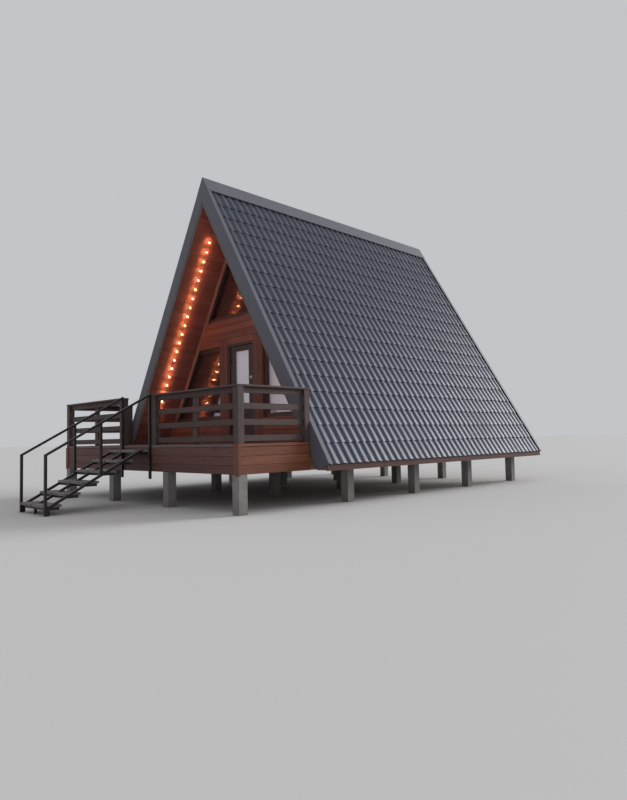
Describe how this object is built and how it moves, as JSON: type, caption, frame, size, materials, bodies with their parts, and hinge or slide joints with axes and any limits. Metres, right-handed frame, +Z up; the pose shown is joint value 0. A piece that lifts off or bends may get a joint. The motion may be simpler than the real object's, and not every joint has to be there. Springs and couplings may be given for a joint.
{
  "type": "cabin",
  "caption": "Steep A-frame cabin on concrete piles, with a railed front porch, an open stair and glazed gables.",
  "frame": {"origin": "on the ground, under the middle of the whole length, in the plane of the ridge", "axes": "+Z up, +Y from the stair to the back of the cabin, +X to the right seen from the stair"},
  "size_m": [6.8314, 10.86, 6.4985],
  "materials": {
    "concrete": "grey cast concrete, matt",
    "rough_wood": "sawn softwood, unfinished",
    "floor_wood": "planed floor boards, matt oil",
    "porch_wood": "weathered dark brown stain",
    "fascia_wood": "faded red-brown stain, matt",
    "wall_wood": "red-brown stain, matt",
    "roof_metal": "dark slate grey coating, low gloss",
    "trim_metal": "mid grey coating, low gloss",
    "frame_wood": "dark brown stain, satin",
    "casing_wood": "light brown stain, matt",
    "window_glass": "clear double glazing",
    "handle_metal": "satin",
    "curtain_cloth": "light grey cloth",
    "steel": "dark grey paint",
    "tread_wood": "weathered grey-brown stain",
    "cable": "dark rubber",
    "bulb_glass": "warm frosted bulb"
  },
  "bodies": {
    "cabin": {"piles": "concrete", "floor_bearers": "rough_wood", "floor_joists": "rough_wood", "floor_boards": "floor_wood", "porch_boards": "porch_wood", "porch_fascia_front": "fascia_wood", "porch_fascia_sides": "fascia_wood", "porch_corner_boards": "fascia_wood", "roof_panel_left": "rough_wood", "roof_panel_right": "rough_wood", "roof_lining_left": "wall_wood", "roof_lining_right": "wall_wood", "tile_sheet_left": "roof_metal", "tile_sheet_right": "roof_metal", "ridge_cap": "trim_metal", "barge_boards": "wall_wood", "verge_trims": "trim_metal", "eave_boards": "fascia_wood", "gable_casings": "casing_wood", "front_wall_left": "wall_wood", "front_wall_right": "wall_wood", "front_wall_over_door": "wall_wood", "back_wall": "wall_wood", "front_window_frames": "frame_wood", "front_window_glass": "window_glass", "back_window_frames": "frame_wood", "back_window_glass": "window_glass", "door_frame": "frame_wood", "window_curtain": "curtain_cloth", "railing_posts": "porch_wood", "railing_front_left": "porch_wood", "railing_front_right": "porch_wood", "railing_left": "porch_wood", "railing_right": "porch_wood", "stair_stringers": "steel", "stair_treads": "tread_wood", "handrail_left": "steel", "handrail_right": "steel", "light_cable": "cable", "light_bulbs": "bulb_glass"},
    "door": {"door_leaf": "frame_wood", "door_glass": "window_glass", "door_handle": "handle_metal", "door_hinges": "handle_metal", "door_curtain": "curtain_cloth"}
  },
  "joints": [
    {"name": "door_hinge", "type": "hinge", "parent": "cabin", "child": "door", "pos_m": [-0.373, -1.129, 1.1], "axis": [0, 0, -1], "range_deg": [0, 95]}
  ]
}
